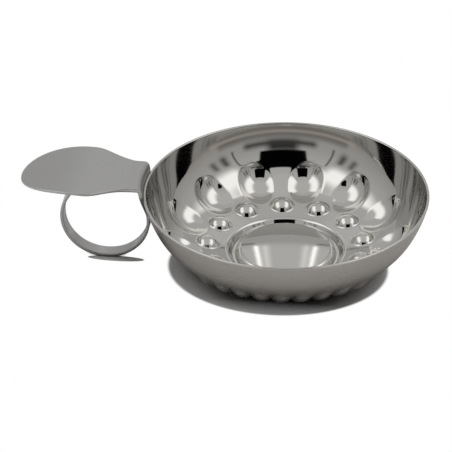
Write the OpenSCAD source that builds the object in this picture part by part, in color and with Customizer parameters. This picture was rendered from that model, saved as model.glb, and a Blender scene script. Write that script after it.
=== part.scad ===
// Tastevin: a shallow embossed wine-tasting bowl with a thumb rest and finger ring.
// The origin is on the bowl's axis, on the table. The handle points along -X.

/* [Bowl] */
// Outside diameter of the rim
rim_d = 85; // [78:0.5:96]
// Height of the rim above the table
bowl_h = 25; // [23:0.5:31]
// Thickness of the pressed sheet
sheet_t = 0.8; // [0.6:0.1:1.1]
// Lean of the straight wall, from level
wall_lean = 71; // [68:1:76]
// Inside radius of the turn from the floor to the wall
turn_r = 19.5; // [16:0.5:20]
// Slope of the floor, rising outwards
floor_slope = 8; // [5:0.5:11]

/* [Moat and dome] */
// Diameter of the moat at the floor
moat_d = 36; // [34:0.2:39]
// Depth of the moat below the floor
moat_depth = 4.6; // [3.6:0.1:5.2]
// Width of the moat's flat bottom, inside
moat_flat = 1.9; // [1.4:0.1:2.4]
// Draft of the moat's sides, from upright
moat_draft = 13; // [10:1:18]
// Height of the dome's edge above the moat's bottom
dome_edge_h = 6.3; // [5:0.1:7]
// Radius of the dome's crown
dome_r = 175; // [90:5:300]

/* [Beads] */
// Beads in the ring round the moat
bead_count = 13; // [9:1:15]
// Diameter of the ring of beads
bead_ring_d = 47; // [46:0.2:50]
// Diameter of a bead at the floor
bead_d = 7.1; // [6:0.1:7.6]
// Height of a bead above the floor
bead_h = 2.4; // [1.6:0.1:2.6]

/* [Cupules] */
// Cupules on the half behind the beads
cup_count = 8; // [4:1:8]
// Diameter of the ring of cupules, on the wall
cup_ring_d = 64; // [62:0.2:68]
// Depth of a cupule below the wall
cup_depth = 1.8; // [1.4:0.1:2.2]
// Inside radius of a cupule
cup_r = 8.5; // [7.6:0.1:9]

/* [Flutes] */
// Flutes on the half opposite the cupules
flute_count = 14; // [8:1:14]
// Angle from one flute to the next
flute_pitch = 10.4; // [10.2:0.1:11]
// Diameter of the ring of flutes, on the wall
flute_ring_d = 63; // [62:0.2:68]
// Depth of a flute below the wall
flute_depth = 1.7; // [0.8:0.1:2]
// Inside radius across a flute
flute_r = 2.4; // [2:0.1:2.5]
// Length of a flute between its round ends
flute_l = 4.6; // [3:0.2:6]
// Slant of a flute from straight up the wall
flute_slant = -14; // [-20:1:20]

/* [Thumb rest] */
// Thickness of the stamped strip
strip_t = 1.2; // [0.9:0.1:1.6]
// Height of the thumb rest's top above the rim, at the neck
rest_rise = 3; // [2.2:0.1:4.5]
// Slope of the thumb rest, rising from the neck
rest_slope = 3.4; // [1:0.2:6]
// Reach of the thumb rest's tip past the rim
rest_reach = 37; // [30:0.5:46]
// Width of the thumb rest
rest_w = 28.2; // [22:0.2:36]
// Width of the neck at the bowl
neck_w = 16.8; // [12:0.2:20]
// Length of the flare from the neck to the full width
flare_l = 13; // [10:0.5:18]
// Radius of the droop towards the thumb rest's tip
droop_r = 58; // [50:1:120]
// Inside radius of the bend from the thumb rest to the leg
bend_r = 0.4; // [0.3:0.1:0.8]

/* [Finger ring] */
// Width of the ring's band
band_w = 4.5; // [3.5:0.1:6]
// Thickness of the ring's band
band_t = 1; // [0.7:0.05:1.1]
// Slope of the leg from upright
leg_slope = 10; // [7:0.5:13]
// Length of the ring's flat at the table and under the thumb rest
ring_flat = 0.4; // [0.2:0.1:3]

/* [Welds] */
// Start of the neck's weld below the rim
rim_weld_top = 0.6; // [0.4:0.1:1]
// End of the neck's weld below the rim
rim_weld_h = 3.2; // [2:0.1:5]
// Reach of the ring's weld past each end of the flat
weld_reach = 1.8; // [1:0.1:3]

/* [Placing] */
// Turn of the embossed pattern from square with the handle
pattern_turn = 8.3; // [-20:0.1:20]

/* [Hidden] */
$fn = 96;
turn_steps = 7;
droop_steps = 6;
bend_steps = 5;
plan_steps = 36;
ring_steps = 12;
weld_steps = 2;
rest_power = 2.2;
flute_swell = 1 / 8;

// Bowl section: the floor's edge, the turn's centre and the straight wall that joins it to the rim
rim_r = rim_d / 2;
rim_in = rim_r - sheet_t / sin(wall_lean);
floor_z = sheet_t + moat_depth;
turn_rise = turn_r * (cos(floor_slope) - cos(wall_lean));
turn_run = turn_r * (sin(wall_lean) - sin(floor_slope));
wall_l = (bowl_h - floor_z - turn_rise - (rim_in - turn_run - moat_d / 2) * tan(floor_slope))
    / (sin(wall_lean) - cos(wall_lean) * tan(floor_slope));
wall_foot = [rim_in - wall_l * cos(wall_lean), bowl_h - wall_l * sin(wall_lean)];
turn_c = wall_foot - turn_r * outward(wall_lean);

// Moat and dome
moat_run = moat_depth * tan(moat_draft);
moat_out = moat_d / 2 - moat_run;
moat_in = moat_out - moat_flat;
dome_edge = [moat_in - dome_edge_h * tan(moat_draft), sheet_t + dome_edge_h];
dome_c = dome_edge[1] - sqrt(dome_r * dome_r - dome_edge[0] * dome_edge[0]);

// Ornament
bead_r = (bead_d * bead_d / 4 + bead_h * bead_h) / (2 * bead_h);
bead_pitch = 360 / bead_count;
cup_at = asin((cup_ring_d / 2 - turn_c[0]) / turn_r);
flute_at = asin((flute_ring_d / 2 - turn_c[0]) / turn_r);

// Handle section, with u along the handle from the bowl's axis
rest_top = bowl_h + rest_rise;
rest_under = rest_top - strip_t;
bend_out = bend_r + strip_t;
bend_z = rest_top - bend_out;
leg_n = [cos(leg_slope), -sin(leg_slope)];
bend_u = rim_r + (bend_z - bowl_h) * tan(leg_slope) + bend_out / cos(leg_slope);
rest_tip = rim_r + rest_reach;
flare_start = bend_u + bend_out;
flare_end = flare_start + flare_l;
root_end = flare_start + strip_t;
bend_c = [bend_u, bend_z];
ring_out = rest_under / 2;
band_mid = ring_out - band_t / 2;
leg_mid = [rim_r, bowl_h] + leg_n * strip_t / 2;
ring_u = leg_mid[0] + (band_mid - (ring_out - leg_mid[1]) * leg_n[1]) / leg_n[0];
ring_c = [ring_u, ring_out];
ring_end_c = [ring_u + ring_flat, ring_out];
ring_end_at = 90 + asin(weld_reach / ring_out);
leg_foot = ring_c - leg_n * band_mid;
leg_down = [-sin(leg_slope), -cos(leg_slope)];
leg_l = (leg_foot - bend_c) * leg_down;
leg_lap = 2 * band_t;

// The thumb rest's droop starts past the ring's weld
droop_start = max(flare_end, ring_end_c[0] + weld_reach + strip_t);
droop_top = rest_top + (droop_start - root_end) * tan(rest_slope);
droop_c = [droop_start + droop_r * sin(rest_slope), droop_top - droop_r * cos(rest_slope)];
droop_end = acos((rest_tip - droop_c[0]) / droop_r);

// Points along an arc
function arc(c, r, from, to, steps) =
    [for (i = [0 : steps]) let (a = from + (to - from) * i / steps) c + r * [cos(a), sin(a)]];

// Unit vector out of the sheet where its surface rises at an angle from level
function outward(a) = [sin(a), -cos(a)];

// Half the thumb rest's width at a distance u: a smooth flare, then a full rounded end
function smooth(s) = s * s * (3 - 2 * s);
function rounded(s) = pow(max(0, 1 - pow(s, rest_power)), 1 / rest_power);
function rest_half(u) = u < flare_end
    ? neck_w / 2 + (rest_w - neck_w) / 2 * smooth(max(0, (u - flare_start) / flare_l))
    : rest_w / 2 * rounded((u - flare_end) / (rest_tip - flare_end));

// Place where the sloping underside of the thumb rest meets the level neck, and its height at a distance u
under_start = root_end + strip_t * tan(rest_slope / 2);
function under_at(u) = rest_under + (u - under_start) * tan(rest_slope);

// Half section of the bowl filled up to a height, its surface moved out by a distance
module bowl_section(out, top) {
    difference() {
        union() {
            bowl_round(out, top);
            moat_trough(out);
        }
        dome_plug(out);
    }
}

// Floor, turn and straight wall
module bowl_round(out, top) {
    turn = arc(turn_c, turn_r + out, floor_slope - 90, wall_lean - 90, turn_steps);
    lip = [rim_in + out / sin(wall_lean), bowl_h];
    middle = [0, turn[0][1] - turn[0][0] * tan(floor_slope)];
    polygon(concat([[0, top], middle], turn, [lip, [lip[0], top]]));
}

module moat_trough(out) {
    low = sheet_t - out;
    spread = out / cos(moat_draft) - out * tan(moat_draft);
    rise = floor_z - low;
    run = rise * tan(moat_draft);
    polygon([
        [moat_in - spread, low],
        [moat_out + spread, low],
        [moat_out + spread + run, low + rise],
        [moat_in - spread - run, low + rise]
    ]);
}

module dome_plug(out) {
    low = sheet_t - out;
    spread = out / cos(moat_draft) - out * tan(moat_draft);
    intersection() {
        translate([0, dome_c]) circle(dome_r - out);
        polygon([
            [0, low - sheet_t],
            [moat_in - spread + sheet_t * tan(moat_draft), low - sheet_t],
            [moat_in - spread - bowl_h * tan(moat_draft), low + bowl_h],
            [0, low + bowl_h]
        ]);
    }
}

// Places of the pattern, counted from the middle of the cupules
module at_bead(i) {
    foot = [bead_ring_d / 2, floor_z + (bead_ring_d - moat_d) / 2 * tan(floor_slope)];
    centre = foot + (bead_r - bead_h) * outward(floor_slope);
    rotate(i * bead_pitch) translate([0, centre[0], centre[1]]) children();
}

module at_cupule(i) {
    centre = turn_c + (turn_r + cup_depth - cup_r) * outward(cup_at);
    rotate((i - (cup_count - 1) / 2) * bead_pitch) translate([0, centre[0], centre[1]]) children();
}

module at_flute(i, out) {
    centre = turn_c + (turn_r + flute_depth - flute_r + (1 - flute_swell) * out) * outward(flute_at);
    rotate(180 + (i - (flute_count - 1) / 2) * flute_pitch)
        translate([0, centre[0], centre[1]])
            rotate([flute_at - 90, 0, 0])
                rotate([0, flute_slant, 0])
                    children();
}

// A round-ended rod laid along the wall and sunk into it
module flute_rod(radius) {
    cylinder(h = flute_l, r = radius, center = true, $fn = 32);
    for (s = [-1, 1]) translate([0, 0, s * flute_l / 2]) sphere(radius, $fn = 32);
}

// Everything above the sheet's lower surface, or above its upper one where out is 0
module bowl_mass(out, top) {
    difference() {
        union() {
            rotate_extrude() bowl_section(out, top);
            for (i = [0 : cup_count - 1]) at_cupule(i) sphere(cup_r + out, $fn = 48);
            for (i = [0 : flute_count - 1]) at_flute(i, out) flute_rod(flute_r + flute_swell * out);
        }
        for (i = [0 : bead_count - 1]) at_bead(i) sphere(bead_r - out, $fn = 32);
    }
}

module bowl() {
    color("lightgray") rotate(pattern_turn) difference() {
        bowl_mass(sheet_t, bowl_h);
        bowl_mass(0, 2 * bowl_h);
    }
}

// Side view of the thumb rest: level at the bend, rising past the ring, then drooping to the tip
module rest_side() {
    top = arc(droop_c, droop_r, 90 + rest_slope, droop_end, droop_steps);
    under = arc(droop_c, droop_r - strip_t, droop_end, 90 + rest_slope, droop_steps);
    root = [[under_start, rest_under], [bend_u, rest_under], [bend_u, rest_top], [root_end, rest_top]];
    polygon(concat(root, top, under));
}

module rest_plan() {
    reach = rest_tip - bend_u;
    half = [for (i = [0 : plan_steps]) let (u = bend_u + reach * sin(90 * i / plan_steps)) [u, rest_half(u)]];
    polygon(concat(half, [for (p = reversed(half)) [p[0], -p[1]]]));
}

module thumb_rest() {
    difference() {
        intersection() {
            rotate([90, 0, 0]) linear_extrude(2 * rest_w, center = true) rest_side();
            linear_extrude(2 * rest_top) rest_plan();
        }
        cylinder(h = 2 * rest_top, r = flare_start);
    }
}

// Half section of the neck, turned round the bowl: it bends down over the rim into the leg
module neck_section() {
    over = arc(bend_c, bend_out, 90, 180 - leg_slope, bend_steps);
    under = arc(bend_c, bend_r, 180 - leg_slope, 90, bend_steps);
    leg_end = [for (r = [bend_out, bend_r]) bend_c - r * leg_n + leg_l * leg_down];
    polygon(concat([[root_end, rest_top]], over, leg_end, under, [[root_end, rest_under]]));
}

// Front view of the neck and leg, narrowing to the ring's band
module neck_front() {
    polygon([
        [-neck_w / 2, 2 * rest_top],
        [-neck_w / 2, bowl_h],
        [-band_w / 2, leg_foot[1]],
        [-band_w / 2, 0],
        [band_w / 2, 0],
        [band_w / 2, leg_foot[1]],
        [neck_w / 2, bowl_h],
        [neck_w / 2, 2 * rest_top]
    ]);
}

module neck() {
    intersection() {
        rotate_extrude() neck_section();
        rotate([90, 0, 90]) linear_extrude(root_end) neck_front();
    }
}

// Side view of one face of the ring's band, from the leg round to its free end
function band_face(radius) = concat(
    [ring_c - radius * leg_n - leg_lap * leg_down],
    arc(ring_c, radius, 180 - leg_slope, 270, ring_steps),
    arc(ring_end_c, radius, 270, 450, 2 * ring_steps),
    arc(ring_c, radius, 90, ring_end_at, weld_steps)
);

function reversed(list) = [for (i = [len(list) - 1 : -1 : 0]) list[i]];

// The band leaves the leg, goes round under the finger and ends below the thumb rest
module ring_side() {
    polygon(concat(band_face(ring_out), reversed(band_face(ring_out - band_t))));
}

module handle() {
    color("silver") rotate(180) {
        thumb_rest();
        neck();
        rotate([90, 0, 0]) linear_extrude(band_w, center = true) ring_side();
    }
}

// Seam in the wedge between the leg and the bowl's wall, below the rim
module rim_weld() {
    wall_slip = 1 / tan(wall_lean);
    leg_slip = tan(leg_slope);
    color("darkgray") rotate(180) intersection() {
        rotate_extrude() polygon([
            [rim_r - rim_weld_top * wall_slip, bowl_h - rim_weld_top],
            [rim_r - rim_weld_h * wall_slip, bowl_h - rim_weld_h],
            [rim_r - rim_weld_h * leg_slip, bowl_h - rim_weld_h],
            [rim_r - rim_weld_top * leg_slip, bowl_h - rim_weld_top]
        ]);
        rotate([90, 0, 90]) linear_extrude(root_end) neck_front();
    }
}

// Pad between the ring's end and the underside of the thumb rest
module ring_weld() {
    on_ring = concat(
        arc(ring_c, ring_out, ring_end_at, 90, weld_steps),
        arc(ring_end_c, ring_out, 90, 180 - ring_end_at, weld_steps)
    );
    from = ring_c[0] - weld_reach;
    to = ring_end_c[0] + weld_reach;
    color("darkgray") rotate(180) rotate([90, 0, 0]) linear_extrude(band_w, center = true)
        polygon(concat(on_ring, [[to, under_at(to)], [from, under_at(from)]]));
}

bowl();
handle();
rim_weld();
ring_weld();
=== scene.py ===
# Looks of the tastevin: an embossed steel bowl with a thumb rest and a finger ring
import math

import bmesh
import bpy
import numpy as np
from mathutils import Matrix, Vector


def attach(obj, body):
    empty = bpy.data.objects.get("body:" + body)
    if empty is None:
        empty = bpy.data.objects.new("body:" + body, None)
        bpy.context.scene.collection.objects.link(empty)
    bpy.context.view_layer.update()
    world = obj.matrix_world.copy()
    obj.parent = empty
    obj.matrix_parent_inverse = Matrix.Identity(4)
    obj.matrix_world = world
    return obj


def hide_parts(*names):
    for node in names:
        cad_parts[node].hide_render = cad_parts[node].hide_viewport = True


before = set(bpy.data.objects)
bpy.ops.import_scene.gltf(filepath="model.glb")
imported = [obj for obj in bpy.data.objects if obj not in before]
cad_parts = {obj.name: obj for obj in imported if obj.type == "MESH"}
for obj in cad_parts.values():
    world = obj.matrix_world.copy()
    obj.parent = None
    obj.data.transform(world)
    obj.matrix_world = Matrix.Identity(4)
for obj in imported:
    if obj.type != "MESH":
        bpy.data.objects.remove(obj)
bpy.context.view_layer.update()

# Units: shapes are worked out in millimetres and stored in metres
MM = 0.001
MERGE_DISTANCE = 1e-7
SPREAD_SAMPLES = 6000
LEAST_ARC_STEPS = 4
LEAST_STEP = 1e-6

# Bowl: the pressed sheet. The moat's bed is what shows inside, above the deep foot
RIM_R = 42.5
BOWL_H = 25.0
SHEET_T = 0.8
WALL_LEAN = math.radians(71)
BOW_START = math.radians(64)
TURN_R = 19.5
FLOOR_SLOPE = math.radians(8)
MOAT_R = 18.0
MOAT_DEPTH = 4.6
MOAT_SHOULDER_R = 17.4
MOAT_ROUND = 1.3
MOAT_WALL = math.radians(32)
MOAT_DRAFT = math.radians(4)
MOAT_BED = 3.4
BED_BLEND = 0.8
BED_ROUND = 0.5
DOME_TOP = 6.3
DOME_R = 180.0
DOME_FACE_R = 13.4
DOME_EDGE_R = 15.0
DOME_ROUND = 2.0
TROUGH_ROUND = 0.3
LIP_ROUND = 0.3
LIP_START = 1.5 * LIP_ROUND

# Fineness of the bowl's mesh: points along its section, columns to a bead, and the gap between two
# points of the section by their distance from the axis
DOME_POINTS = 60
TURN_STEPS = 240
BOW_STEPS = 60
SECTION_STEP = 0.04
LIP_STEP = 0.08
BEAD_COLUMNS = 40
SECTION_GAPS = {
    0: 0.8,
    10: 0.5,
    12.5: 0.16,
    18.8: 0.16,
    20: 0.26,
    28: 0.28,
    38: 0.34,
    40: 0.6,
    42: 0.8,
}

# Ornament: a ring of beads, cupules behind and flutes in front, which fade out along their length and
# towards the ends of their row. A blend rounds the edge of a form, and the reach limit is how far from
# its middle a form is looked for, in its radii
BEAD_COUNT = 13
BEAD_RING_R = 23.5
BEAD_D = 7.1
BEAD_H = 2.1
CUP_COUNT = 8
CUP_RING_R = 32.0
CUP_DEPTH = 1.35
CUP_SWEEP = math.radians(1.5)
CUP_R = 10.0
FLUTE_COUNT = 14
FLUTE_PITCH = math.radians(10.4)
FLUTE_RING_R = 31.5
FLUTE_DEPTH = 1.25
FLUTE_R = 3.3
FLUTE_HALF = 5.0
FLUTE_FADE = 0.75
FLUTE_FADE_FROM = 4.0
FLUTE_FADE_OVER = 2.5
FLUTE_SLANT = math.radians(-14)
PATTERN_TURN = math.radians(8.3)
RELIEF_BLEND = 0.2
CUP_BLEND = 0.12
FLUTE_BLEND = 0.7
REACH_LIMIT = 1.6

# Handle: one strip from the thumb rest's tip to the ring's free end. The neck goes over into the rest
# along its blend, and the leg tapers partly along a straight line and partly along an eased one
STRIP_T = 1.2
REST_RISE = 3.0
REST_SLOPE = math.radians(3.4)
REST_REACH = 37.0
REST_W = 28.2
NECK_W = 16.8
FLARE_L = 13.0
DROOP_R = 58.0
BEND_R = 0.4
BAND_W = 4.5
BAND_T = 1.0
LEG_SLOPE = math.radians(10)
RING_FLAT = 0.4
WELD_REACH = 1.8
REST_POWER = 2.2
EDGE_ROUND = 0.3
EDGE_THIN = 1.8
EDGE_LEVEL = 0.45
RING_EDGE = 0.15
TIP_INSET = 0.12
NECK_BLEND = 8.0
LEG_EASE = 0.25
LEG_EASE_FROM = 0.05
LEG_EASE_SPAN = 0.9

# Fineness of the strip's mesh: points along its stretches, then across it from the edge
DROOP_POINTS = 70
RISE_POINTS = 30
LEVEL_POINTS = 8
BEND_STEPS = 16
LEG_POINTS = 26
NEAR_STEPS = 30
FAR_STEPS = 60
END_STEPS = 4
FREE_POINTS = 20
EDGE_POINTS = (0, 0.01, 0.04, 0.09, 0.16, 0.25, 0.36, 0.5)
INNER_POINTS = 16

# Camera: fitted to the rim's ellipse, with the bowl's rim centre as its pivot
IMAGE_PX = 452
CAM_DISTANCE = 0.80008
CAM_ELEVATION = math.radians(30.8808)
CAM_FOCAL_PX = 2697.8
CAM_YAW = math.radians(-1.4926)
CAM_PITCH = math.radians(0.724)
CAM_ROLL = math.radians(-0.2351)
HANDLE_TURN = math.radians(5.3)
SENSOR_MM = 36.0

# Light tent round the table: its level at the horizon and at an elevation in degrees, and the
# elevations between which the table's warm light fades out
TENT_R = 1.7
TENT_SEGMENTS = 96
TENT_RINGS = 48
TENT_LEVELS = (0.35, 0.555)
TENT_RISE = 40
TENT_COLOUR = (1, 0.995, 0.98, 1)
TABLE_COLOUR = (1, 0.91, 0.82, 1)
WARM_BAND = (3, 14)

# Floor: its size in metres and its surface
FLOOR_SIZE = 8
FLOOR_ROUGH = 0.9
FLOOR_GLOSS = 0.1

# Painted shadows on the floor: middle and half size of the bowl's and the ring's painted shadow oval in
# metres, the share of an oval that its soft edge takes, and between which places in metres painted
# light makes the bowl's shadow lighter towards the front, up to which level
SHADOW_AT = (-0.0021, -0.0021)
SHADOW_HALF = (0.0331, 0.0265)
RING_SHADOW_AT = (-0.0512, -0.0029)
RING_SHADOW_HALF = (0.0086, 0.0015)
SHADOW_EDGE = 0.02
FRONT_PAINTED_LIGHT = (-0.0213, -0.0285)
PAINTED_LIGHT_LEVEL = 0.16

# Openness of the floor, as the free share of the sky: how far the wide and the close measure look in
# metres, then the shares between which the floor's colour goes from dark to pale, as painted shade, and
# its two levels, as seen and as mirrored in the steel, and the shares between which a contact shadow
# ends
WIDE_REACH = 0.045
CLOSE_REACH = 0.005
SKY_SAMPLES = 16
SEEN_DARK = (0.12, 0.34)
SEEN_PAINTED_SHADE = (0.02, 0.8)
MIRRORED_DARK = (0.18, 0.66)
MIRRORED_PAINTED_SHADE = (0.02, 0.78)
CONTACT_SHADOW = (0.1, 0.3)

# Distance from the axis at which the floor mirrored in the steel starts to be white, and is white;
# nearer, the steel mirrors a painted shadow
MIRRORED_WHITE = (0.07, 0.16)

# Finishes: colour, least and greatest roughness, how far the grain shades the colour, and the depth of
# the grain in metres
POLISHED = ((0.62, 0.61, 0.59), (0.03, 0.06), 0.03, 0.0000004)
SATIN = ((0.6, 0.57, 0.535), (0.24, 0.34), 0.06, 0.0000025)
BRUSHED = ((0.54, 0.54, 0.536), (0.28, 0.38), 0.05, 0.0000025)
WELDED = ((0.42, 0.39, 0.36), (0.45, 0.6), 0.18, 0.00008)

# Grain: cells of noise to a metre across the lines and to a radian round the axis, or to a metre along
# each axis. Clouds and ripples: cells to a metre and the noise's detail. Both together, over the wear
# range, set the roughness
BUFFING = (2500, 6)
BUFFING_DETAIL = 3
BUFFED_CLOUD = (90, 2)
TURNING = (4200, 9)
TURNING_DETAIL = 4
TURNED_CLOUD = (60, 3)
BRUSHING = (160, 5200, 900)
BRUSHING_DETAIL = 4
BRUSHED_CLOUD = (70, 3)
RIPPLES = (1800, 3)
WELD_CLOUD = (500, 2)
WEAR_RANGE = (0.3, 0.7)

# The polish grows duller between these heights in metres, by this much roughness
DULL_BAND = (0.017, 0.024)
DULL_ROUGH = 0.04


# Shapes

def unit(v):
    """Vectors of length one."""
    return v / np.linalg.norm(v, axis=-1, keepdims=True)


def arc(centre, radius, start, stop, steps):
    """Points along an arc, angles in radians."""
    angles = np.linspace(start, stop, steps + 1)
    return np.array(centre) + radius * np.stack([np.cos(angles), np.sin(angles)], axis=-1)


def rounded_path(corners, step):
    """A path through corners (x, z, radius) with each corner rounded by its radius."""
    path = [np.array(corners[0][:2])]
    for before, corner, after in zip(corners, corners[1:], corners[2:]):
        here = np.array(corner[:2])
        radius = corner[2]
        if radius == 0:
            path.append(here)
            continue
        back = unit(np.array(before[:2]) - here)
        on = unit(np.array(after[:2]) - here)
        half = math.acos(float(np.clip(back @ on, -1, 1))) / 2
        centre = here + unit(back + on) * radius / math.sin(half)
        first = here + back * radius / math.tan(half) - centre
        last = here + on * radius / math.tan(half) - centre
        sweep = math.pi - 2 * half
        turn = math.copysign(sweep, first[0] * last[1] - first[1] * last[0])
        start = math.atan2(first[1], first[0])
        steps = max(LEAST_ARC_STEPS, math.ceil(radius * sweep / step))
        path.extend(arc(centre, radius, start, start + turn, steps))
    path.append(np.array(corners[-1][:2]))
    return np.array(path)


def spread(path, gaps):
    """Samples a path afresh, with gaps that depend on the distance from the axis."""
    fine = np.concatenate([[0], np.cumsum(np.linalg.norm(np.diff(path, axis=0), axis=1))])
    s = np.linspace(0, fine[-1], SPREAD_SAMPLES)
    r = np.interp(s, fine, path[:, 0])
    z = np.interp(s, fine, path[:, 1])
    gap = np.interp(r, list(gaps.keys()), list(gaps.values()))
    count = np.concatenate([[0], np.cumsum(np.diff(s) / gap[1:])])
    wanted = np.linspace(0, count[-1], math.ceil(count[-1]) + 1)
    at = np.interp(wanted, count, s)
    return np.stack([np.interp(at, s, r), np.interp(at, s, z)], axis=-1)


def path_normals(path):
    """Unit normals on the left of a path, looking along it."""
    along = unit(np.gradient(path, axis=0))
    return np.stack([-along[:, 1], along[:, 0]], axis=-1)


def mesh_object(name, points, faces, materials, picks=None):
    """A smooth object from points in millimetres, with outward faces."""
    mesh = bpy.data.meshes.new(name)
    mesh.from_pydata((np.asarray(points) * MM).tolist(), [], faces)
    for material in materials:
        mesh.materials.append(material)
    if picks is not None:
        mesh.polygons.foreach_set("material_index", picks)
    shape = bmesh.new()
    shape.from_mesh(mesh)
    bmesh.ops.remove_doubles(shape, verts=shape.verts, dist=MERGE_DISTANCE)
    bmesh.ops.dissolve_degenerate(shape, edges=shape.edges, dist=MERGE_DISTANCE)
    bmesh.ops.recalc_face_normals(shape, faces=shape.faces)
    for face in shape.faces:
        face.smooth = True
    shape.to_mesh(mesh)
    shape.free()
    piece = bpy.data.objects.new(name, mesh)
    bpy.context.scene.collection.objects.link(piece)
    return piece


def grid_faces(rows, columns, start=0, wrap=False):
    """Quads of a grid of points, closed along its columns where it wraps."""
    faces = []
    for i in range(rows - 1):
        for j in range(columns if wrap else columns - 1):
            a = start + i * columns + j
            b = start + i * columns + (j + 1) % columns
            faces.append((a, b, b + columns, a + columns))
    return faces


# Bowl

FLOOR_Z = SHEET_T + MOAT_DEPTH
RIM_IN = RIM_R - SHEET_T / math.sin(WALL_LEAN)
TURN_RISE = TURN_R * (math.cos(FLOOR_SLOPE) - math.cos(WALL_LEAN))
TURN_RUN = TURN_R * (math.sin(WALL_LEAN) - math.sin(FLOOR_SLOPE))
WALL_L = (
    BOWL_H - FLOOR_Z - TURN_RISE - (RIM_IN - TURN_RUN - MOAT_R) * math.tan(FLOOR_SLOPE)
) / (math.sin(WALL_LEAN) - math.cos(WALL_LEAN) * math.tan(FLOOR_SLOPE))
WALL_FOOT = np.array([RIM_IN - WALL_L * math.cos(WALL_LEAN), BOWL_H - WALL_L * math.sin(WALL_LEAN)])


def outward(angle):
    """Direction out of the sheet where its surface rises at an angle from level."""
    return np.array([math.sin(angle), -math.cos(angle)])


TURN_C = WALL_FOOT - TURN_R * outward(WALL_LEAN)


def wall_bow():
    """The wall above the turn: a slow curve that ends at the rim."""
    foot = TURN_C + TURN_R * outward(BOW_START)
    rise = BOWL_H - foot[1]
    run = RIM_IN - foot[0]
    chord = math.atan2(rise, run)
    bend = 2 * (chord - BOW_START)
    radius = math.hypot(rise, run) / (2 * math.sin(bend / 2))
    centre = foot - radius * outward(BOW_START)
    return arc(centre, radius, BOW_START - math.pi / 2, BOW_START + bend - math.pi / 2, BOW_STEPS)


def dome_height(r):
    """Height of the dome's shallow ball at a distance from the axis."""
    return DOME_TOP - DOME_R + math.sqrt(DOME_R ** 2 - r ** 2)


def bowl_profile():
    """Inside of the sheet from the dome's middle to just below the lip, as (r, z)."""
    crown = [(r, dome_height(r), 0) for r in np.linspace(0, DOME_FACE_R, DOME_POINTS)]
    face_slope = (crown[-1][1] - crown[-2][1]) / (crown[-1][0] - crown[-2][0])
    edge_z = crown[-1][1] + face_slope * (DOME_EDGE_R - DOME_FACE_R)
    shoulder_z = FLOOR_Z - (MOAT_R - MOAT_SHOULDER_R) * math.tan(FLOOR_SLOPE)
    moat_in = DOME_EDGE_R + (edge_z - SHEET_T) * math.tan(MOAT_DRAFT)
    bed_r = MOAT_SHOULDER_R - (shoulder_z - MOAT_BED) * math.tan(MOAT_WALL)
    moat_out = bed_r - (MOAT_BED - SHEET_T) * math.tan(MOAT_DRAFT)
    turn = arc(TURN_C, TURN_R, FLOOR_SLOPE - math.pi / 2, BOW_START - math.pi / 2, TURN_STEPS)
    bow = wall_bow()
    top_z = BOWL_H - LIP_START
    corners = crown + [
        (DOME_EDGE_R, edge_z, DOME_ROUND),
        (moat_in, SHEET_T, TROUGH_ROUND),
        (moat_out, SHEET_T, TROUGH_ROUND),
        (bed_r, MOAT_BED, BED_ROUND),
        (MOAT_SHOULDER_R, shoulder_z, MOAT_ROUND),
    ]
    corners += [(r, z, 0) for r, z in np.concatenate([turn, bow[1:]]) if z < top_z]
    corners.append((np.interp(top_z, bow[:, 1], bow[:, 0]), top_z, 0))
    return spread(rounded_path(corners, SECTION_STEP), SECTION_GAPS)


def ball_reach(points, along, centre, radius):
    """How far points move along a direction to lie on the far side of a ball."""
    arm = points - centre
    lean = np.sum(arm * along, axis=-1)
    size = np.sum(arm * arm, axis=-1)
    reach = np.sqrt(np.maximum(lean ** 2 - size + radius ** 2, 0)) - lean
    near = (size < (REACH_LIMIT * radius) ** 2) & (lean > 0)
    return np.where(near, reach, -radius)


def soft_rise(reach, blend):
    """Keeps what is above zero and rounds the corner where it starts."""
    return (reach + np.sqrt(reach * reach + blend * blend)) / 2


def ring_frame(angle):
    """Directions away from the bowl's axis and round it at an angle."""
    away = np.array([math.cos(angle), math.sin(angle), 0])
    around = np.array([-math.sin(angle), math.cos(angle), 0])
    return away, around


def on_ring(angle, section):
    """A point of the section, turned round the axis."""
    away, _ = ring_frame(angle)
    return away * section[0] + np.array([0, 0, section[1]])


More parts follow.
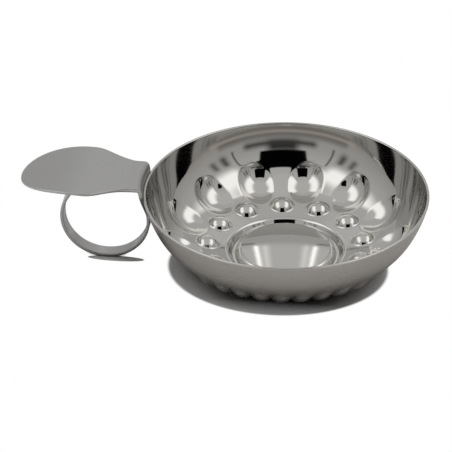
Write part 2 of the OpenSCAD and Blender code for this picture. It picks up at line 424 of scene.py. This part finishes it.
def relief(points, normals):
    """Height of the embossing above the plain sheet, measured into the bowl."""
    back = math.pi / 2 + PATTERN_TURN
    pitch = 2 * math.pi / BEAD_COUNT
    bead_r = (BEAD_D ** 2 / 4 + BEAD_H ** 2) / (2 * BEAD_H)
    bead_foot = np.array([BEAD_RING_R, FLOOR_Z + (BEAD_RING_R - MOAT_R) * math.tan(FLOOR_SLOPE)])
    bead_c = bead_foot + (bead_r - BEAD_H) * outward(FLOOR_SLOPE)
    height = np.zeros(points.shape[:-1])
    for i in range(BEAD_COUNT):
        reach = ball_reach(points, normals, on_ring(back + i * pitch, bead_c), bead_r)
        height += soft_rise(reach, RELIEF_BLEND)

    cup_at = math.asin((CUP_RING_R - TURN_C[0]) / TURN_R)
    cup_path_r = TURN_R + CUP_DEPTH - CUP_R
    for i in range(CUP_COUNT):
        away, _ = ring_frame(back + (i - (CUP_COUNT - 1) / 2) * pitch)
        bend = np.arctan2(points @ away - TURN_C[0], TURN_C[1] - points[..., 2])
        bend = np.clip(bend, cup_at - CUP_SWEEP, cup_at + CUP_SWEEP)[..., None]
        centre = (TURN_C[0] + cup_path_r * np.sin(bend)) * away
        centre = centre + (TURN_C[1] - cup_path_r * np.cos(bend)) * np.array([0, 0, 1])
        reach = ball_reach(points, -normals, centre, CUP_R)
        height -= soft_rise(reach, CUP_BLEND)

    flute_at = math.asin((FLUTE_RING_R - TURN_C[0]) / TURN_R)
    flute_sink = FLUTE_DEPTH + FLUTE_HALF ** 2 / (2 * TURN_R)
    deepest = np.full(points.shape[:-1], -FLUTE_R)
    for i in range(FLUTE_COUNT):
        from_middle = i - (FLUTE_COUNT - 1) / 2
        angle = back + math.pi + from_middle * FLUTE_PITCH
        away, around = ring_frame(angle)
        faded = FLUTE_FADE * smooth((abs(from_middle) - FLUTE_FADE_FROM) / FLUTE_FADE_OVER)
        flute_c = TURN_C + (TURN_R + FLUTE_DEPTH * (1 - faded) - FLUTE_R) * outward(flute_at)
        up_wall = away * math.cos(flute_at) + np.array([0, 0, math.sin(flute_at)])
        axis = math.cos(FLUTE_SLANT) * up_wall - math.sin(FLUTE_SLANT) * around
        centre = on_ring(angle, flute_c)
        out_of_wall = on_ring(angle, outward(flute_at))
        along = ((points - centre) @ axis)[..., None]
        nearest = centre + along * axis - flute_sink * (along / FLUTE_HALF) ** 2 * out_of_wall
        deepest = np.maximum(deepest, ball_reach(points, -normals, nearest, FLUTE_R))
    return height - soft_rise(deepest, FLUTE_BLEND)


def make_bowl(inside, outside):
    """The pressed sheet: embossed inside, rounded lip and embossed outside."""
    columns = BEAD_COLUMNS * BEAD_COUNT
    profile = bowl_profile()
    normal = path_normals(profile)
    normal[0] = (0, 1)
    angles = np.linspace(0, 2 * math.pi, columns, endpoint=False)
    away = np.stack([np.cos(angles), np.sin(angles), np.zeros(columns)], axis=-1)
    up = np.array([0, 0, 1])
    plain = profile[:, None, :1] * away + profile[:, None, 1:] * up
    lean = normal[:, None, :1] * away + normal[:, None, 1:] * up
    raised = relief(plain, lean)[..., None] * lean
    bed = soft_rise(MOAT_BED - profile[:, 1], BED_BLEND) * (profile[:, 0] < MOAT_R)
    upper = plain + raised + bed[:, None, None] * up
    lower = plain + raised - SHEET_T * lean

    top = profile[-1]
    bottom = top - SHEET_T * normal[-1]
    lip = rounded_path(
        [(*top, 0), (RIM_IN, BOWL_H, LIP_ROUND), (RIM_R, BOWL_H, LIP_ROUND), (*bottom, 0)], LIP_STEP
    )[1:-1]
    lip_ring = lip[:, None, :1] * away + lip[:, None, 1:] * up
    rows = np.concatenate([upper, lip_ring, lower[::-1]])
    faces = grid_faces(len(rows), columns, wrap=True)
    polished = (len(upper) + len(lip) - 1) * columns
    picks = [0] * polished + [1] * (len(faces) - polished)
    return mesh_object("bowl_sheet", rows.reshape(-1, 3), faces, [inside, outside], picks)


# Handle

REST_TOP = BOWL_H + REST_RISE
REST_UNDER = REST_TOP - STRIP_T
BEND_OUT = BEND_R + STRIP_T
BEND_Z = REST_TOP - BEND_OUT
BEND_U = RIM_R + (BEND_Z - BOWL_H) * math.tan(LEG_SLOPE) + BEND_OUT / math.cos(LEG_SLOPE)
REST_TIP = RIM_R + REST_REACH - TIP_INSET
FLARE_START = BEND_U + BEND_OUT
FLARE_END = FLARE_START + FLARE_L
LEG_N = np.array([math.cos(LEG_SLOPE), -math.sin(LEG_SLOPE)])
RING_OUT = REST_UNDER / 2
BAND_MID = RING_OUT - BAND_T / 2
LEG_MID = np.array([RIM_R, BOWL_H]) + LEG_N * STRIP_T / 2
RING_U = LEG_MID[0] + (BAND_MID - (RING_OUT - LEG_MID[1]) * LEG_N[1]) / LEG_N[0]
LEG_FOOT = np.array([RING_U, RING_OUT]) - LEG_N * BAND_MID
ROOT_END = FLARE_START + STRIP_T
DROOP_START = max(FLARE_END, RING_U + RING_FLAT + WELD_REACH + STRIP_T)
DROOP_C = np.array([
    DROOP_START + DROOP_R * math.sin(REST_SLOPE),
    REST_TOP + (DROOP_START - ROOT_END) * math.tan(REST_SLOPE) - DROOP_R * math.cos(REST_SLOPE),
])


def smooth(s):
    """Smooth step from 0 to 1."""
    s = np.clip(s, 0, 1)
    return s * s * (3 - 2 * s)


def rest_half(u):
    """Half the width of the thumb rest at a distance u from the bowl's axis."""
    flare = NECK_W / 2 + (REST_W - NECK_W) / 2 * smooth((u - FLARE_START) / FLARE_L)
    s = np.clip((u - FLARE_END) / (REST_TIP - FLARE_END), 0, 1)
    end = REST_W / 2 * (1 - s ** REST_POWER) ** (1 / REST_POWER)
    return np.where(u < FLARE_END, flare, end)


def strip_line():
    """Middle line of the strip in its side view, with four values along it: half the width, half the
    thickness, how far it curves round the bowl and how far it has the thumb rest's edge."""
    droop_mid = DROOP_R - STRIP_T / 2
    start = DROOP_C[0] - droop_mid * math.sin(REST_SLOPE)
    u = start + (REST_TIP - start) * np.sin(np.linspace(math.pi / 2, 0, DROOP_POINTS))
    droop = np.stack([u, DROOP_C[1] + np.sqrt(droop_mid ** 2 - (u - DROOP_C[0]) ** 2)], axis=-1)
    mid_z = REST_TOP - STRIP_T / 2
    root = (ROOT_END + STRIP_T / 2 * math.tan(REST_SLOPE / 2), mid_z)
    rise = np.linspace(droop[-1], root, RISE_POINTS)[1:]
    level_u = np.linspace(rise[-1, 0], BEND_U, LEVEL_POINTS)[1:]
    level = np.concatenate([rise, np.stack([level_u, np.full(len(level_u), mid_z)], axis=-1)])
    bend_r = BEND_R + STRIP_T / 2
    bend = arc((BEND_U, BEND_Z), bend_r, math.pi / 2, math.pi - LEG_SLOPE, BEND_STEPS)[1:]
    leg = np.linspace(bend[-1], LEG_FOOT, LEG_POINTS)[1:]
    ring_c = np.array([RING_U, RING_OUT])
    ring_end_c = ring_c + np.array([RING_FLAT, 0])
    ring_end = math.pi / 2 + math.asin(WELD_REACH / RING_OUT)
    ring = [
        arc(ring_c, BAND_MID, math.pi - LEG_SLOPE, 1.5 * math.pi, NEAR_STEPS)[1:],
        arc(ring_end_c, BAND_MID, 1.5 * math.pi, 2.5 * math.pi, FAR_STEPS),
        arc(ring_c, BAND_MID, math.pi / 2, ring_end, END_STEPS),
    ]
    line = np.concatenate([droop, level, bend, leg] + ring)
    on_rest = len(droop) + len(level)
    on_leg = on_rest + len(bend) + len(leg)
    leg_rows = slice(on_rest, on_leg)
    climb = (line[leg_rows, 1] - LEG_FOOT[1]) / (BOWL_H - LEG_FOOT[1])
    straight = np.clip(climb, 0, 1)
    eased = smooth(climb * LEG_EASE_SPAN + LEG_EASE_FROM)
    taper = (1 - LEG_EASE) * straight + LEG_EASE * eased
    half = np.full(len(line), BAND_W / 2)
    half[:on_rest] = rest_half(line[:on_rest, 0])
    half[leg_rows] = BAND_W / 2 + (NECK_W - BAND_W) / 2 * taper
    thick = np.full(len(line), BAND_T / 2)
    thick[:on_rest] = STRIP_T / 2
    thick[leg_rows] = BAND_T / 2 + (STRIP_T - BAND_T) / 2 * straight
    leaf = np.zeros(len(line))
    leaf[:on_rest] = smooth((line[:on_rest, 0] - FLARE_START) / NECK_BLEND)
    round_bowl = np.zeros(len(line))
    round_bowl[:on_rest] = 1 - leaf[:on_rest]
    round_bowl[leg_rows] = 1
    round_bowl[on_leg:on_leg + FREE_POINTS] = np.linspace(1, 0, FREE_POINTS)
    return line, half, thick, round_bowl, leaf[:, None]


def quarter_round(s):
    """A quarter circle from 0 to 1."""
    return np.sqrt(1 - (1 - np.clip(s, 0, 1)) ** 2)


def make_handle(steel):
    """The stamped strip with its rounded edges, bent over the rim and round into the ring."""
    line, half, thick, round_bowl, leaf = strip_line()
    along = unit(np.gradient(line, axis=0))
    normal = np.stack([along[:, 1], -along[:, 0]], axis=-1)
    step = np.linalg.norm(np.gradient(line, axis=0), axis=-1)
    steep = np.sqrt(1 + (np.gradient(half) / np.maximum(step, LEAST_STEP)) ** 2)

    inner = np.linspace(0, 1, INNER_POINTS)[1:]
    scale = np.minimum(1, half)[:, None]
    border = EDGE_POINTS[-1] * scale
    middle = border + inner * (half[:, None] - border)
    from_edge = np.concatenate([np.array(EDGE_POINTS) * scale, middle], axis=1)
    across = half[:, None] - from_edge
    across = np.concatenate([across, -across[:, -2::-1]], axis=1)
    inset = (half[:, None] - np.abs(across)) / steep[:, None]
    level = EDGE_LEVEL * thick[:, None] * leaf
    over_edge = RING_EDGE + (EDGE_ROUND - RING_EDGE) * leaf
    under_edge = RING_EDGE + (EDGE_THIN - RING_EDGE) * leaf
    over = level + (thick[:, None] - level) * quarter_round(inset / over_edge)
    under = level - (thick[:, None] + level) * quarter_round(inset / under_edge)

    u = line[:, :1]
    curve = (np.sqrt(np.maximum(u ** 2 - across ** 2, 0)) - u) * round_bowl[:, None]
    faces_at = []
    for lift in (over, under):
        x = -(u + curve + lift * normal[:, :1])
        z = line[:, 1:] + lift * normal[:, 1:]
        faces_at.append(np.stack([x, -across, z], axis=-1))
    rows, columns = across.shape
    points = np.concatenate([side.reshape(-1, 3) for side in faces_at])
    faces = grid_faces(rows, columns)
    faces += [tuple(reversed(face)) for face in grid_faces(rows, columns, start=rows * columns)]
    last = (rows - 1) * columns
    below = last + rows * columns
    faces += [(last + j, last + j + 1, below + j + 1, below + j) for j in range(columns - 1)]
    return mesh_object("handle_strip", points, faces, [steel])


# Materials

def new_material(name):
    """A material with nodes, its tree and its main shader."""
    material = bpy.data.materials.new(name)
    material.use_nodes = True
    tree = material.node_tree
    return material, tree, tree.nodes["Principled BSDF"]


def add_node(tree, kind, inputs=None, **settings):
    """A node with its settings, and its inputs set or linked."""
    node = tree.nodes.new(kind)
    for key, value in settings.items():
        setattr(node, key, value)
    for key, value in (inputs or {}).items():
        if isinstance(value, bpy.types.NodeSocket):
            tree.links.new(value, node.inputs[key])
        else:
            node.inputs[key].default_value = value
    return node


def math_node(tree, operation, first, second=0.0):
    """A sum, product or other operation on two numbers."""
    return add_node(tree, "ShaderNodeMath", {0: first, 1: second}, operation=operation).outputs[0]


def remap(tree, value, low, high, to_low, to_high, smooth_step=False):
    """Maps a range onto another one and clamps it."""
    node = add_node(
        tree,
        "ShaderNodeMapRange",
        {"Value": value, "From Min": low, "From Max": high, "To Min": to_low, "To Max": to_high},
        interpolation_type="SMOOTHSTEP" if smooth_step else "LINEAR",
    )
    return node.outputs["Result"]


def turned_coordinates(tree, across, around):
    """Coordinates for a finish that runs round the bowl's axis."""
    place = add_node(tree, "ShaderNodeTexCoord").outputs["Object"]
    xyz = add_node(tree, "ShaderNodeSeparateXYZ", {0: place})
    x, y, z = xyz.outputs
    squares = [math_node(tree, "MULTIPLY", side, side) for side in (x, y)]
    radius = math_node(tree, "SQRT", math_node(tree, "ADD", *squares))
    angle = math_node(tree, "ARCTAN2", y, math_node(tree, "MULTIPLY", x, -1.0))
    return add_node(
        tree,
        "ShaderNodeCombineXYZ",
        {
            0: math_node(tree, "MULTIPLY", radius, across),
            1: math_node(tree, "MULTIPLY", angle, around),
            2: math_node(tree, "MULTIPLY", z, across),
        },
    ).outputs[0]


def noise(tree, vector, scale, detail):
    """A noise value between 0 and 1."""
    return add_node(
        tree, "ShaderNodeTexNoise", {"Vector": vector, "Scale": scale, "Detail": detail}
    ).outputs["Fac"]


def finish_metal(tree, shader, finish, grain, cloud):
    """A metal whose grain shades its colour, its roughness and its surface."""
    colour, rough, shade, grain_depth = finish
    shader.inputs["Metallic"].default_value = 1
    low = tuple(c * (1 - shade) for c in colour) + (1,)
    high = tuple(min(1, c * (1 + shade)) for c in colour) + (1,)
    halves = [math_node(tree, "MULTIPLY", part, 0.5) for part in (grain, cloud)]
    both = math_node(tree, "ADD", *halves)
    tint = add_node(tree, "ShaderNodeMix", {"Factor": both, "A": low, "B": high}, data_type="RGBA")
    tree.links.new(tint.outputs["Result"], shader.inputs["Base Color"])
    worn = remap(tree, both, *WEAR_RANGE, *rough)
    tree.links.new(worn, shader.inputs["Roughness"])
    bump = add_node(tree, "ShaderNodeBump", {"Height": grain, "Strength": 1.0, "Distance": grain_depth})
    tree.links.new(bump.outputs["Normal"], shader.inputs["Normal"])
    return worn


def polished_steel():
    """Mirror-polished inside with faint buffing lines round the axis, duller towards the rim."""
    material, tree, shader = new_material("bowl_polished")
    turned = turned_coordinates(tree, *BUFFING)
    place = add_node(tree, "ShaderNodeTexCoord").outputs["Object"]
    grain = noise(tree, turned, 1.0, BUFFING_DETAIL)
    cloud = noise(tree, place, *BUFFED_CLOUD)
    worn = finish_metal(tree, shader, POLISHED, grain, cloud)
    height = add_node(tree, "ShaderNodeSeparateXYZ", {0: place}).outputs["Z"]
    dull = remap(tree, height, *DULL_BAND, 0, DULL_ROUGH, True)
    tree.links.new(math_node(tree, "ADD", worn, dull), shader.inputs["Roughness"])
    return material


def satin_steel():
    """Satin outside, brushed round the axis."""
    material, tree, shader = new_material("bowl_satin")
    turned = turned_coordinates(tree, *TURNING)
    place = add_node(tree, "ShaderNodeTexCoord").outputs["Object"]
    grain = noise(tree, turned, 1.0, TURNING_DETAIL)
    cloud = noise(tree, place, *TURNED_CLOUD)
    finish_metal(tree, shader, SATIN, grain, cloud)
    return material


def brushed_steel():
    """Satin strip, brushed along its length."""
    material, tree, shader = new_material("strip_brushed")
    place = add_node(tree, "ShaderNodeTexCoord").outputs["Object"]
    long = add_node(tree, "ShaderNodeMapping", {"Vector": place, "Scale": BRUSHING}).outputs[0]
    grain = noise(tree, long, 1.0, BRUSHING_DETAIL)
    cloud = noise(tree, place, *BRUSHED_CLOUD)
    finish_metal(tree, shader, BRUSHED, grain, cloud)
    return material


def weld_steel():
    """Dull weld metal with a rippled, faintly heat-tinted surface."""
    material, tree, shader = new_material("weld_rippled")
    place = add_node(tree, "ShaderNodeTexCoord").outputs["Object"]
    grain = noise(tree, place, *RIPPLES)
    cloud = noise(tree, place, *WELD_CLOUD)
    finish_metal(tree, shader, WELDED, grain, cloud)
    return material


# Studio

# Panels of the tent: azimuth of the middle from the front, to the right, half width at the lower and
# upper edge, lower and upper elevation, softness, all in degrees, then the level
PANELS = {
    "horizon": (0, 200, 200, -20, 3, 7, 0.1),
    "crown": (0, 200, 200, 66, 110, 8, 0.62),
    "left_softbox": (-84, 42, 42, 42, 66, 7, 1.4),
    "right_softbox": (101, 42, 42, 42, 66, 7, 1.4),
    "front_low": (9, 55, 55, -8, 11, 3, 0.2),
    "front_foot": (9, 65, 65, -12, 1, 1.5, 0.09),
    "front_line": (9, 62, 62, 5, 7, 1.2, 0.44),
    "left_gap": (-46, 3, 3, 17, 33, 4, 0.08),
    "right_gap": (63, 3, 3, 17, 33, 4, 0.08),
    "left_outer_gap": (-57, 2.5, 2.5, 18, 33, 4, 0.12),
    "right_outer_gap": (74, 2.5, 2.5, 18, 33, 4, 0.12),
    "left_seam": (-35.5, 0.8, 0.8, 16, 42, 1.2, 0.08),
    "right_seam": (53, 0.8, 0.8, 16, 42, 1.2, 0.08),
    "camera_shelf": (11, 31, 31, 14, 18, 3.5, 0.025),
    "camera_foot": (8.5, 13, 13, 14, 24, 5, 0.04),
    "back_foot": (-174.7, 30, 30, 2, 14, 2, 0.45),
    "back_low": (-174.7, 30, 30, 12, 31, 0.6, 0.46),
    "back_high": (-174.7, 9, 9, 32, 43, 1.5, 0.62),
    "left_glow": (-171.5, 0.4, 0.4, 32, 43, 0.7, 1.0),
    "right_glow": (-177.9, 0.4, 0.4, 32, 43, 0.7, 1.0),
    "left_strip": (-170.1, 0.3, 0.3, 32, 43, 0.4, 1.9),
    "right_strip": (-179.3, 0.3, 0.3, 32, 43, 0.4, 1.9),
    "left_tick": (-167.5, 2.5, 2.5, 30.9, 31.3, 0.3, 0.08),
    "right_tick": (178.1, 2.5, 2.5, 30.9, 31.3, 0.3, 0.08),
    "camera": (8.5, 20, 26, 22.5, 54, 1.2, 0.001),
}


def inside(tree, distance, reach, soft):
    """One where a distance is below a reach and zero above it, with a soft edge."""
    past = math_node(tree, "SUBTRACT", distance, reach)
    return remap(tree, past, -soft, soft, 1, 0, True)


def panel_mask(tree, azimuth, elevation, middle, low_half, high_half, low, high, soft):
    """One on a panel of the tent and zero off it."""
    turned = math_node(tree, "SUBTRACT", azimuth, float(middle))
    wrap = add_node(tree, "ShaderNodeMath", {0: turned, 1: 180.0, 2: -180.0}, operation="WRAP")
    half = remap(tree, elevation, low, high, low_half, high_half)
    across = inside(tree, math_node(tree, "ABSOLUTE", wrap.outputs[0]), half, soft)
    height = math_node(tree, "ABSOLUTE", math_node(tree, "SUBTRACT", elevation, (low + high) / 2))
    return math_node(tree, "MULTIPLY", across, inside(tree, height, (high - low) / 2, soft))


def make_tent():
    """A pale light tent with a soft box on each side and the dark camera in front."""
    bpy.ops.mesh.primitive_uv_sphere_add(segments=TENT_SEGMENTS, ring_count=TENT_RINGS, radius=TENT_R)
    tent = bpy.context.object
    tent.name = "light_tent"
    shape = bmesh.new()
    shape.from_mesh(tent.data)
    below = [v for v in shape.verts if v.co.z < -MM]
    bmesh.ops.delete(shape, geom=below, context="VERTS")
    for face in shape.faces:
        face.smooth = True
    shape.to_mesh(tent.data)
    shape.free()
    material = bpy.data.materials.new("tent_cloth")
    material.use_nodes = True
    tree = material.node_tree
    tree.nodes.clear()
    place = add_node(tree, "ShaderNodeTexCoord").outputs["Object"]
    way = add_node(tree, "ShaderNodeVectorMath", {0: place}, operation="NORMALIZE").outputs[0]
    x, y, z = add_node(tree, "ShaderNodeSeparateXYZ", {0: way}).outputs
    front = math_node(tree, "MULTIPLY", y, -1.0)
    to_degrees = 180 / math.pi
    azimuth = math_node(tree, "MULTIPLY", math_node(tree, "ARCTAN2", x, front), to_degrees)
    elevation = math_node(tree, "MULTIPLY", math_node(tree, "ARCSINE", z), to_degrees)
    level = remap(tree, elevation, 0, TENT_RISE, *TENT_LEVELS)
    for *place_on_tent, brightness in PANELS.values():
        mask = panel_mask(tree, azimuth, elevation, *place_on_tent)
        blend = add_node(tree, "ShaderNodeMix", {"Factor": mask, "A": level, "B": brightness})
        level = blend.outputs["Result"]
    warm = remap(tree, elevation, *WARM_BAND, 1, 0, True)
    tints = {"Factor": warm, "A": TENT_COLOUR, "B": TABLE_COLOUR}
    tint = add_node(tree, "ShaderNodeMix", tints, data_type="RGBA")
    glow = add_node(tree, "ShaderNodeEmission", {"Color": tint.outputs["Result"], "Strength": level})
    end = add_node(tree, "ShaderNodeOutputMaterial")
    tree.links.new(glow.outputs[0], end.inputs["Surface"])
    tent.data.materials.append(material)
    tent.visible_camera = False
    tent.visible_shadow = False


def outside_oval(tree, middle, half):
    """Zero inside an oval on the floor and one outside it, with a nearly crisp edge."""
    place = add_node(tree, "ShaderNodeTexCoord").outputs["Object"]
    x, y, _ = add_node(tree, "ShaderNodeSeparateXYZ", {0: place}).outputs
    across = math_node(tree, "DIVIDE", math_node(tree, "SUBTRACT", x, middle[0]), half[0])
    along = math_node(tree, "DIVIDE", math_node(tree, "SUBTRACT", y, middle[1]), half[1])
    squares = [math_node(tree, "MULTIPLY", side, side) for side in (across, along)]
    reach = math_node(tree, "SQRT", math_node(tree, "ADD", *squares))
    return remap(tree, reach, 1 - SHADOW_EDGE, 1 + SHADOW_EDGE, 0, 1, True)


def open_sky(tree, reach):
    """Share of the sky that a point of the floor sees within a reach."""
    return add_node(
        tree, "ShaderNodeAmbientOcclusion", {"Distance": reach}, samples=SKY_SAMPLES
    ).outputs["AO"]


def make_floor():
    """A pale floor that is white away from the object, with painted shade in its colour near the
    object, painted shadow ovals round the bowl and the ring, and painted light that lightens the bowl's
    shadow towards the front.
    """
    bpy.ops.mesh.primitive_plane_add(size=FLOOR_SIZE)
    floor = bpy.context.object
    floor.name = "floor"
    material, tree, shader = new_material("floor_pale_painted_shadow")
    shader.inputs["Roughness"].default_value = FLOOR_ROUGH
    shader.inputs["Specular IOR Level"].default_value = FLOOR_GLOSS
    wide = open_sky(tree, WIDE_REACH)
    close = open_sky(tree, CLOSE_REACH)
    path = add_node(tree, "ShaderNodeLightPath").outputs
    mirrored = math_node(tree, "MAXIMUM", path["Is Glossy Ray"], path["Is Transmission Ray"])
    # Painted shade: the floor's colour is darkened where less of the sky is open, and more so where the
    # steel mirrors it
    seen_painted_shade = remap(tree, wide, *SEEN_DARK, *SEEN_PAINTED_SHADE, True)
    mirrored_painted_shade = remap(tree, wide, *MIRRORED_DARK, *MIRRORED_PAINTED_SHADE, True)
    pale = add_node(tree, "ShaderNodeMix", {"Factor": mirrored, "A": seen_painted_shade, "B": mirrored_painted_shade})
    tree.links.new(pale.outputs["Result"], shader.inputs["Base Color"])

    place = add_node(tree, "ShaderNodeTexCoord").outputs["Object"]
    # Painted shadow: the floor stays white outside these ovals, so the shadow's outline is drawn, not
    # cast
    bowl_clear = outside_oval(tree, SHADOW_AT, SHADOW_HALF)
    ring_clear = outside_oval(tree, RING_SHADOW_AT, RING_SHADOW_HALF)
    touching = remap(tree, close, *CONTACT_SHADOW, 0, 1, True)
    depth = add_node(tree, "ShaderNodeSeparateXYZ", {0: place}).outputs["Y"]
    # Painted light: white glow over the bowl's shadow, rising towards the front
    lift = remap(tree, depth, *FRONT_PAINTED_LIGHT, 0, PAINTED_LIGHT_LEVEL)
    oval_clear = math_node(tree, "MAXIMUM", math_node(tree, "MINIMUM", bowl_clear, ring_clear), lift)
    seen_clear = math_node(tree, "MINIMUM", oval_clear, touching)
    from_axis = add_node(tree, "ShaderNodeVectorMath", {0: place}, operation="LENGTH").outputs["Value"]
    # Painted reflection of shade: nearer the axis the steel mirrors the floor's painted shade instead
    # of white
    mirrored_clear = remap(tree, from_axis, *MIRRORED_WHITE, 0, 1, True)

    seen_white = math_node(tree, "MULTIPLY", path["Is Camera Ray"], seen_clear)
    mirrored_white = math_node(tree, "MULTIPLY", mirrored, mirrored_clear)
    white = math_node(tree, "ADD", seen_white, mirrored_white)
    glow = add_node(tree, "ShaderNodeEmission", {"Strength": 1.0})
    mix = add_node(tree, "ShaderNodeMixShader", {0: white})
    tree.links.new(shader.outputs[0], mix.inputs[1])
    tree.links.new(glow.outputs[0], mix.inputs[2])
    tree.links.new(mix.outputs[0], tree.nodes["Material Output"].inputs["Surface"])
    floor.data.materials.append(material)


def make_world():
    """Plain white behind everything, which the tent hides from the object."""
    world = bpy.data.worlds.new("studio")
    world.use_nodes = True
    bpy.context.scene.world = world
    tree = world.node_tree
    back = tree.nodes["Background"]
    back.inputs["Color"].default_value = (1, 1, 1, 1)
    back.inputs["Strength"].default_value = 1


def make_camera():
    """The photograph's camera, in the part's frame."""
    turn = Matrix.Rotation(HANDLE_TURN, 3, "Z")
    rim_centre = Vector((0, 0, BOWL_H * MM))
    place = CAM_DISTANCE * Vector((0, -math.cos(CAM_ELEVATION), math.sin(CAM_ELEVATION)))
    down = -(CAM_ELEVATION + CAM_PITCH)
    level = math.cos(down)
    ahead = Vector((math.sin(CAM_YAW) * level, math.cos(CAM_YAW) * level, math.sin(down)))
    right = Vector((math.cos(CAM_YAW), -math.sin(CAM_YAW), 0))
    up = right.cross(ahead)
    c = math.cos(CAM_ROLL)
    s = math.sin(CAM_ROLL)
    rolled_right = turn @ (c * right + s * up)
    rolled_up = turn @ (c * up - s * right)
    data = bpy.data.cameras.new("camera")
    data.sensor_width = SENSOR_MM
    data.lens = CAM_FOCAL_PX * SENSOR_MM / IMAGE_PX
    camera = bpy.data.objects.new("camera", data)
    bpy.context.scene.collection.objects.link(camera)
    pose = Matrix((rolled_right, rolled_up, -(turn @ ahead))).transposed().to_4x4()
    pose.translation = turn @ place + rim_centre
    camera.matrix_world = pose
    bpy.context.scene.camera = camera


bpy.context.scene.view_settings.view_transform = "Standard"
make_camera()

bowl = make_bowl(polished_steel(), satin_steel())
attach(bowl, "root")
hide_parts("bowl")

handle = make_handle(brushed_steel())
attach(handle, "root")
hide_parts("handle")

weld = weld_steel()
for name in ("rim_weld", "ring_weld"):
    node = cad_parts[name]
    for slot in node.material_slots:
        slot.material = weld

make_floor()
make_tent()
make_world()
